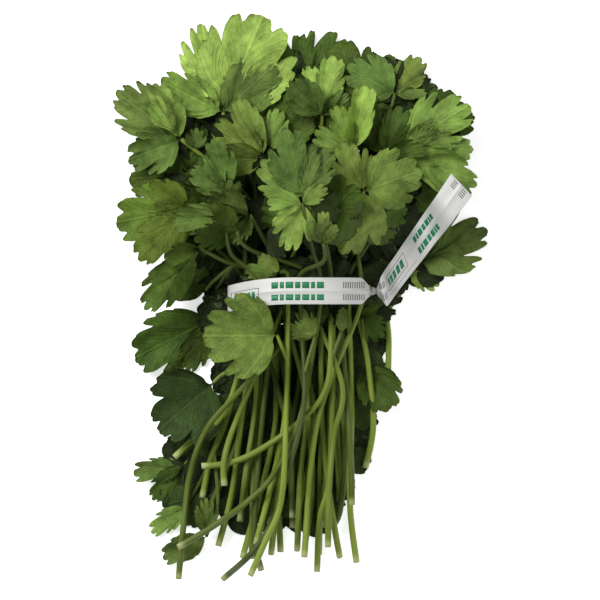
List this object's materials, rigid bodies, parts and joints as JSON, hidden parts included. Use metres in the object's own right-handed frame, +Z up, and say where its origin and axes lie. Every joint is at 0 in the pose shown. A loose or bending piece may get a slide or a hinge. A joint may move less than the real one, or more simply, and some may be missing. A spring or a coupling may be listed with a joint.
{
  "type": "coriander bunch",
  "caption": "Fresh coriander bunch lying flat, leafy stems held at the waist by a paper wire tie",
  "frame": {"origin": "middle of the flat underside of the tie, on the surface that the bunch lies on", "axes": "+Y from the cut ends towards the leaves, +Z up from the surface, +X to the right seen from above with the leaves away from you"},
  "size_m": [0.1779, 0.2723, 0.0599],
  "materials": {
    "leaf_young": "fresh leaf, bright yellow-green, soft sheen, on pale green stems",
    "leaf_mid": "fresh leaf, mid green, soft sheen, on pale green stems",
    "leaf_dark": "fresh leaf, deep green, soft sheen, on green stems",
    "tie": "white paper strip over a wire, satin, with plain green marks"
  },
  "bodies": {
    "root": {"tie": "tie", "stem_right_edge": "leaf_dark", "stem_top_left_young": "leaf_young", "stem_top_middle": "leaf_young", "stem_top_right": "leaf_dark", "stem_left_top": "leaf_dark", "stem_right_high": "leaf_mid", "stem_left_middle": "leaf_mid", "stem_right_outer": "leaf_mid", "stem_left_low": "leaf_dark", "stem_centre_top": "leaf_mid", "stem_upper_right_dark": "leaf_dark", "stem_upper_young": "leaf_young", "stem_centre_left": "leaf_mid", "stem_centre_middle": "leaf_mid", "stem_centre_low": "leaf_young", "stem_lower_centre": "leaf_young", "stem_waist_tuft": "leaf_young", "stem_centre_right": "leaf_young", "stem_lower_left": "leaf_dark", "stem_left_short": "leaf_dark", "stem_lower_left_little": "leaf_mid", "stem_under_1": "leaf_dark", "stem_under_2": "leaf_dark", "stem_under_3": "leaf_dark", "stem_under_4": "leaf_dark", "stem_inner_1": "leaf_dark", "stem_inner_2": "leaf_dark", "stem_inner_3": "leaf_dark", "stem_inner_4": "leaf_dark", "stem_inner_5": "leaf_dark", "stem_inner_6": "leaf_dark", "stem_inner_7": "leaf_dark", "stem_inner_8": "leaf_dark", "stem_inner_9": "leaf_dark", "stem_inner_10": "leaf_dark", "stem_inner_11": "leaf_dark", "stem_inner_12": "leaf_dark"}
  },
  "joints": []
}
